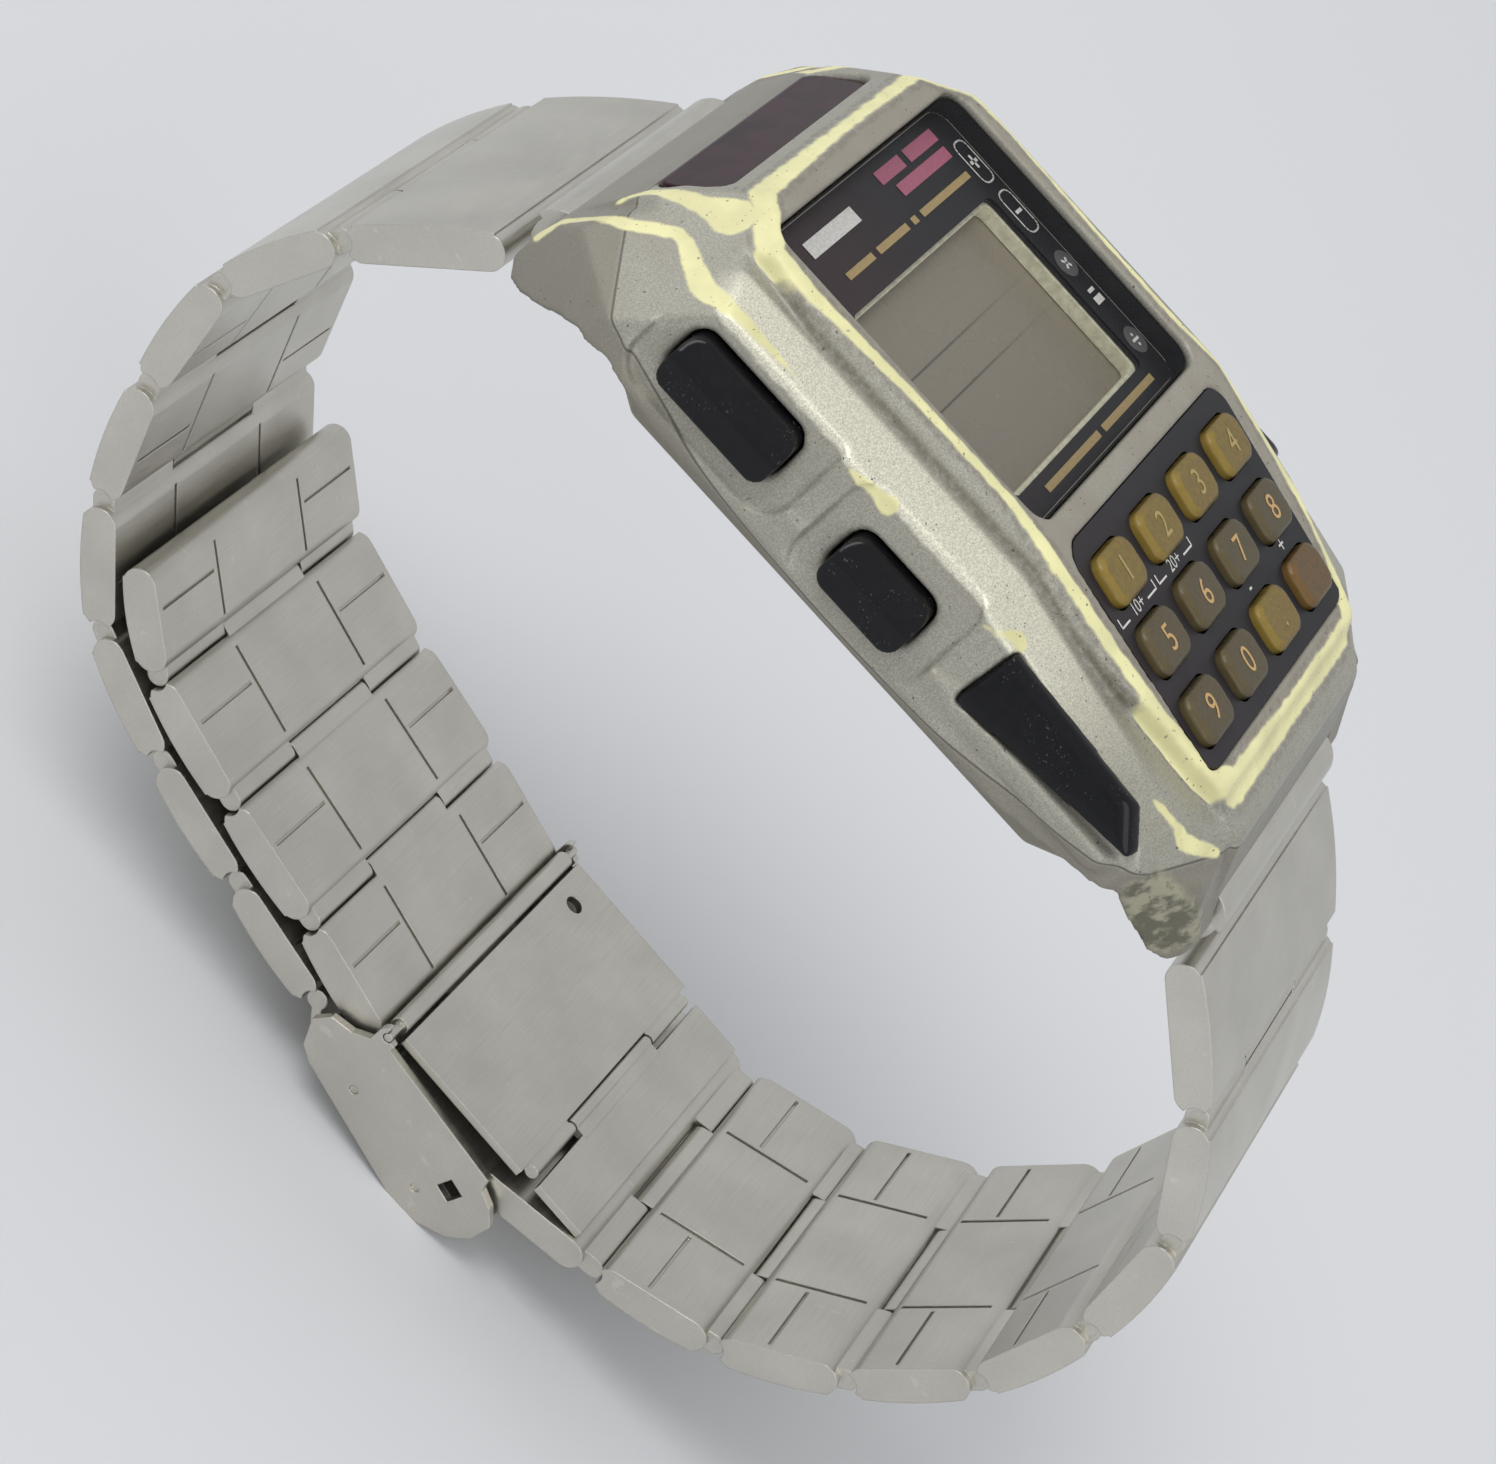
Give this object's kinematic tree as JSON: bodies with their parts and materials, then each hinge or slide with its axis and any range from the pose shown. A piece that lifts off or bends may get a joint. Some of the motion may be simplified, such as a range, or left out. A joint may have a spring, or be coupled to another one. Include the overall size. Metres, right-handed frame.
{
  "type": "remote control watch",
  "caption": "Wristwatch with an infrared window, a display over a tilted calculator keypad, side buttons and a folded steel link bracelet with a fold-over clasp",
  "frame": {"origin": "centre of the flat outer face of the case back", "axes": "+Z out of the display, +Y towards the infrared window at 12 o'clock, +X towards the side with three buttons; -Z is the case back's outward normal"},
  "size_m": [0.0359, 0.069, 0.0581],
  "materials": {
    "case_paint": "metallic paint, worn on the ridges",
    "front_glass": "clear",
    "black_print": "satin",
    "display": "smooth",
    "cream_frame": "satin",
    "plum_window": "gloss",
    "black_gloss": "gloss",
    "key_amber": "translucent",
    "key_smoke": "translucent",
    "key_rust": "translucent",
    "rubber": "matt",
    "module_grey": "matt",
    "board_green": "satin",
    "plain_steel": "smooth",
    "diode_lens": "gloss",
    "sound_brass": "satin",
    "back_steel": "brushed in circles",
    "bracelet_steel": "brushed across the band"
  },
  "bodies": {
    "case": {"case_shell": "case_paint", "front_glass": "front_glass", "display_mask": "black_print", "lcd_panel": "display", "lcd_frame": "cream_frame", "infrared_window": "plum_window", "side_window": "black_gloss", "keypad_plate": "black_print", "key_mat": "rubber", "module_frame": "module_grey", "circuit_board": "board_green", "coin_cell": "plain_steel", "contact_plate": "plain_steel", "infrared_diodes": "diode_lens", "sound_disc": "sound_brass", "case_back": "back_steel", "back_screws": "plain_steel", "spring_bars": "plain_steel", "end_pieces": "bracelet_steel"},
    "key_1": {"key_1": "key_amber"},
    "key_2": {"key_2": "key_amber"},
    "key_3": {"key_3": "key_amber"},
    "key_4": {"key_4": "key_amber"},
    "key_5": {"key_5": "key_smoke"},
    "key_6": {"key_6": "key_smoke"},
    "key_7": {"key_7": "key_smoke"},
    "key_8": {"key_8": "key_smoke"},
    "key_9": {"key_9": "key_smoke"},
    "key_0": {"key_0": "key_smoke"},
    "key_point": {"key_point": "key_amber"},
    "key_enter": {"key_enter": "key_rust"},
    "button_left_upper": {"button_left_upper": "black_gloss"},
    "button_left_lower": {"button_left_lower": "black_gloss"},
    "button_right_upper": {"button_right_upper": "black_gloss"},
    "button_right_middle": {"button_right_middle": "black_gloss"},
    "button_right_lower": {"button_right_lower": "black_gloss"},
    "link_12_1": {"link_12_1": "bracelet_steel"},
    "link_12_2": {"link_12_2": "bracelet_steel"},
    "link_12_3": {"link_12_3": "bracelet_steel"},
    "link_12_4": {"link_12_4": "bracelet_steel"},
    "link_12_5": {"link_12_5": "bracelet_steel"},
    "link_12_6": {"link_12_6": "bracelet_steel"},
    "link_12_7": {"link_12_7": "bracelet_steel"},
    "link_12_8": {"link_12_8": "bracelet_steel"},
    "cover": {"clasp_cover": "bracelet_steel"},
    "link_6_1": {"link_6_1": "bracelet_steel"},
    "link_6_2": {"link_6_2": "bracelet_steel"},
    "link_6_3": {"link_6_3": "bracelet_steel"},
    "link_6_4": {"link_6_4": "bracelet_steel"},
    "link_6_5": {"link_6_5": "bracelet_steel"},
    "link_6_6": {"link_6_6": "bracelet_steel"},
    "link_6_7": {"link_6_7": "bracelet_steel"},
    "leaf": {"clasp_leaf": "bracelet_steel", "adjuster_bar": "bracelet_steel"},
    "tail_link_1": {"tail_link_1": "bracelet_steel"},
    "tail_link_2": {"tail_link_2": "bracelet_steel"},
    "tail_link_3": {"tail_link_3": "bracelet_steel"},
    "tail_link_4": {"tail_link_4": "bracelet_steel"},
    "lock": {"lock_plate": "bracelet_steel"}
  },
  "joints": [
    {"name": "key_1_press", "type": "slide", "parent": "case", "child": "key_1", "axis": [0, 0.1994, -0.9799], "range_m": [0, 0.0005], "stiffness_N_per_m": 400, "springref_m": -0.0002},
    {"name": "key_2_press", "type": "slide", "parent": "case", "child": "key_2", "axis": [0, 0.1994, -0.9799], "range_m": [0, 0.0005], "stiffness_N_per_m": 400, "springref_m": -0.0002},
    {"name": "key_3_press", "type": "slide", "parent": "case", "child": "key_3", "axis": [0, 0.1994, -0.9799], "range_m": [0, 0.0005], "stiffness_N_per_m": 400, "springref_m": -0.0002},
    {"name": "key_4_press", "type": "slide", "parent": "case", "child": "key_4", "axis": [0, 0.1994, -0.9799], "range_m": [0, 0.0005], "stiffness_N_per_m": 400, "springref_m": -0.0002},
    {"name": "key_5_press", "type": "slide", "parent": "case", "child": "key_5", "axis": [0, 0.1994, -0.9799], "range_m": [0, 0.0005], "stiffness_N_per_m": 400, "springref_m": -0.0002},
    {"name": "key_6_press", "type": "slide", "parent": "case", "child": "key_6", "axis": [0, 0.1994, -0.9799], "range_m": [0, 0.0005], "stiffness_N_per_m": 400, "springref_m": -0.0002},
    {"name": "key_7_press", "type": "slide", "parent": "case", "child": "key_7", "axis": [0, 0.1994, -0.9799], "range_m": [0, 0.0005], "stiffness_N_per_m": 400, "springref_m": -0.0002},
    {"name": "key_8_press", "type": "slide", "parent": "case", "child": "key_8", "axis": [0, 0.1994, -0.9799], "range_m": [0, 0.0005], "stiffness_N_per_m": 400, "springref_m": -0.0002},
    {"name": "key_9_press", "type": "slide", "parent": "case", "child": "key_9", "axis": [0, 0.1994, -0.9799], "range_m": [0, 0.0005], "stiffness_N_per_m": 400, "springref_m": -0.0002},
    {"name": "key_0_press", "type": "slide", "parent": "case", "child": "key_0", "axis": [0, 0.1994, -0.9799], "range_m": [0, 0.0005], "stiffness_N_per_m": 400, "springref_m": -0.0002},
    {"name": "key_point_press", "type": "slide", "parent": "case", "child": "key_point", "axis": [0, 0.1994, -0.9799], "range_m": [0, 0.0005], "stiffness_N_per_m": 400, "springref_m": -0.0002},
    {"name": "key_enter_press", "type": "slide", "parent": "case", "child": "key_enter", "axis": [0, 0.1994, -0.9799], "range_m": [0, 0.0005], "stiffness_N_per_m": 400, "springref_m": -0.0002},
    {"name": "button_left_upper_press", "type": "slide", "parent": "case", "child": "button_left_upper", "axis": [1, 0, 0], "range_m": [0, 0.0007], "stiffness_N_per_m": 400, "springref_m": -0.0003},
    {"name": "button_left_lower_press", "type": "slide", "parent": "case", "child": "button_left_lower", "axis": [1, 0, 0], "range_m": [0, 0.0007], "stiffness_N_per_m": 400, "springref_m": -0.0003},
    {"name": "button_right_upper_press", "type": "slide", "parent": "case", "child": "button_right_upper", "axis": [-1, 0, 0], "range_m": [0, 0.0007], "stiffness_N_per_m": 400, "springref_m": -0.0003},
    {"name": "button_right_middle_press", "type": "slide", "parent": "case", "child": "button_right_middle", "axis": [-1, 0, 0], "range_m": [0, 0.0007], "stiffness_N_per_m": 400, "springref_m": -0.0003},
    {"name": "button_right_lower_press", "type": "slide", "parent": "case", "child": "button_right_lower", "axis": [-1, 0, 0], "range_m": [0, 0.0007], "stiffness_N_per_m": 400, "springref_m": -0.0003},
    {"name": "bracelet_open", "type": "hinge", "parent": "case", "child": "link_12_1", "pos_m": [0, 0.0216, 0.0001], "axis": [1, 0, 0], "range_deg": [0, 30]},
    {"name": "link_12_2_turn", "type": "hinge", "parent": "link_12_1", "child": "link_12_2", "pos_m": [0, 0.02907, -0.00811], "axis": [1, 0, 0], "range_deg": [0, 15.3]},
    {"name": "link_12_3_turn", "type": "hinge", "parent": "link_12_2", "child": "link_12_3", "pos_m": [0, 0.03192, -0.01516], "axis": [1, 0, 0], "range_deg": [0, 21.42]},
    {"name": "link_12_4_turn", "type": "hinge", "parent": "link_12_3", "child": "link_12_4", "pos_m": [0, 0.03126, -0.02273], "axis": [1, 0, 0], "range_deg": [0, 9.18]},
    {"name": "link_12_5_turn", "type": "hinge", "parent": "link_12_4", "child": "link_12_5", "pos_m": [0, 0.02903, -0.03], "axis": [1, 0, 0], "range_deg": [0, 15.3]},
    {"name": "link_12_6_turn", "type": "hinge", "parent": "link_12_5", "child": "link_12_6", "pos_m": [0, 0.02446, -0.03607], "axis": [1, 0, 0], "range_deg": [0, 21.42]},
    {"name": "link_12_7_turn", "type": "hinge", "parent": "link_12_6", "child": "link_12_7", "pos_m": [0, 0.01752, -0.03916], "axis": [1, 0, 0], "range_deg": [0, 6.12]},
    {"name": "link_12_8_turn", "type": "hinge", "parent": "link_12_7", "child": "link_12_8", "pos_m": [0, 0.01016, -0.04106], "axis": [1, 0, 0], "range_deg": [0, 3.06]},
    {"name": "cover_turn", "type": "hinge", "parent": "link_12_8", "child": "cover", "pos_m": [0, 0.00274, -0.0427], "axis": [1, 0, 0], "range_deg": [0, 9.18]},
    {"name": "link_6_1_turn", "type": "hinge", "parent": "case", "child": "link_6_1", "pos_m": [0, -0.0215, 0.001], "axis": [1, 0, 0], "range_deg": [-5.51, 0]},
    {"name": "link_6_2_turn", "type": "hinge", "parent": "link_6_1", "child": "link_6_2", "pos_m": [0, -0.02962, -0.00596], "axis": [1, 0, 0], "range_deg": [-3.67, 0]},
    {"name": "link_6_3_turn", "type": "hinge", "parent": "link_6_2", "child": "link_6_3", "pos_m": [0, -0.03409, -0.01211], "axis": [1, 0, 0], "range_deg": [-5.51, 0]},
    {"name": "link_6_4_turn", "type": "hinge", "parent": "link_6_3", "child": "link_6_4", "pos_m": [0, -0.03541, -0.0196], "axis": [1, 0, 0], "range_deg": [-3.67, 0]},
    {"name": "link_6_5_turn", "type": "hinge", "parent": "link_6_4", "child": "link_6_5", "pos_m": [0, -0.03435, -0.02712], "axis": [1, 0, 0], "range_deg": [-4.59, 0]},
    {"name": "link_6_6_turn", "type": "hinge", "parent": "link_6_5", "child": "link_6_6", "pos_m": [0, -0.03044, -0.03364], "axis": [1, 0, 0], "range_deg": [-3.67, 0]},
    {"name": "link_6_7_turn", "type": "hinge", "parent": "link_6_6", "child": "link_6_7", "pos_m": [0, -0.02479, -0.03872], "axis": [1, 0, 0], "range_deg": [-4.59, 0]},
    {"name": "leaf_turn", "type": "hinge", "parent": "link_6_7", "child": "leaf", "pos_m": [0, -0.01765, -0.04132], "axis": [1, 0, 0], "range_deg": [-2.45, 0]},
    {"name": "tail_link_1_turn", "type": "hinge", "parent": "leaf", "child": "tail_link_1", "pos_m": [0, -0.0012, -0.0413], "axis": [1, 0, 0], "range_deg": [0, 9.18]},
    {"name": "tail_link_2_turn", "type": "hinge", "parent": "tail_link_1", "child": "tail_link_2", "pos_m": [0, 0.00611, -0.03923], "axis": [1, 0, 0], "range_deg": [0, 6.12]},
    {"name": "tail_link_3_turn", "type": "hinge", "parent": "tail_link_2", "child": "tail_link_3", "pos_m": [0, 0.01354, -0.0376], "axis": [1, 0, 0], "range_deg": [0, 6.12]},
    {"name": "tail_link_4_turn", "type": "hinge", "parent": "tail_link_3", "child": "tail_link_4", "pos_m": [0, 0.02081, -0.03539], "axis": [1, 0, 0], "range_deg": [0, 3.06]},
    {"name": "lock_plate_lift", "type": "hinge", "parent": "leaf", "child": "lock", "pos_m": [0, -0.01165, -0.04025], "axis": [-1, 0, 0], "range_deg": [0, 60]}
  ],
  "couplings": [
    {"joint": "link_12_2_turn", "follows": "bracelet_open", "ratio": 0.5},
    {"joint": "link_12_3_turn", "follows": "bracelet_open", "ratio": 0.7},
    {"joint": "link_12_4_turn", "follows": "bracelet_open", "ratio": 0.3},
    {"joint": "link_12_5_turn", "follows": "bracelet_open", "ratio": 0.5},
    {"joint": "link_12_6_turn", "follows": "bracelet_open", "ratio": 0.7},
    {"joint": "link_12_7_turn", "follows": "bracelet_open", "ratio": 0.2},
    {"joint": "link_12_8_turn", "follows": "bracelet_open", "ratio": 0.1},
    {"joint": "cover_turn", "follows": "bracelet_open", "ratio": 0.3},
    {"joint": "link_6_1_turn", "follows": "bracelet_open", "ratio": -0.18},
    {"joint": "link_6_2_turn", "follows": "bracelet_open", "ratio": -0.12},
    {"joint": "link_6_3_turn", "follows": "bracelet_open", "ratio": -0.18},
    {"joint": "link_6_4_turn", "follows": "bracelet_open", "ratio": -0.12},
    {"joint": "link_6_5_turn", "follows": "bracelet_open", "ratio": -0.15},
    {"joint": "link_6_6_turn", "follows": "bracelet_open", "ratio": -0.12},
    {"joint": "link_6_7_turn", "follows": "bracelet_open", "ratio": -0.15},
    {"joint": "leaf_turn", "follows": "bracelet_open", "ratio": -0.08},
    {"joint": "tail_link_1_turn", "follows": "bracelet_open", "ratio": 0.3},
    {"joint": "tail_link_2_turn", "follows": "bracelet_open", "ratio": 0.2},
    {"joint": "tail_link_3_turn", "follows": "bracelet_open", "ratio": 0.2},
    {"joint": "tail_link_4_turn", "follows": "bracelet_open", "ratio": 0.1}
  ]
}
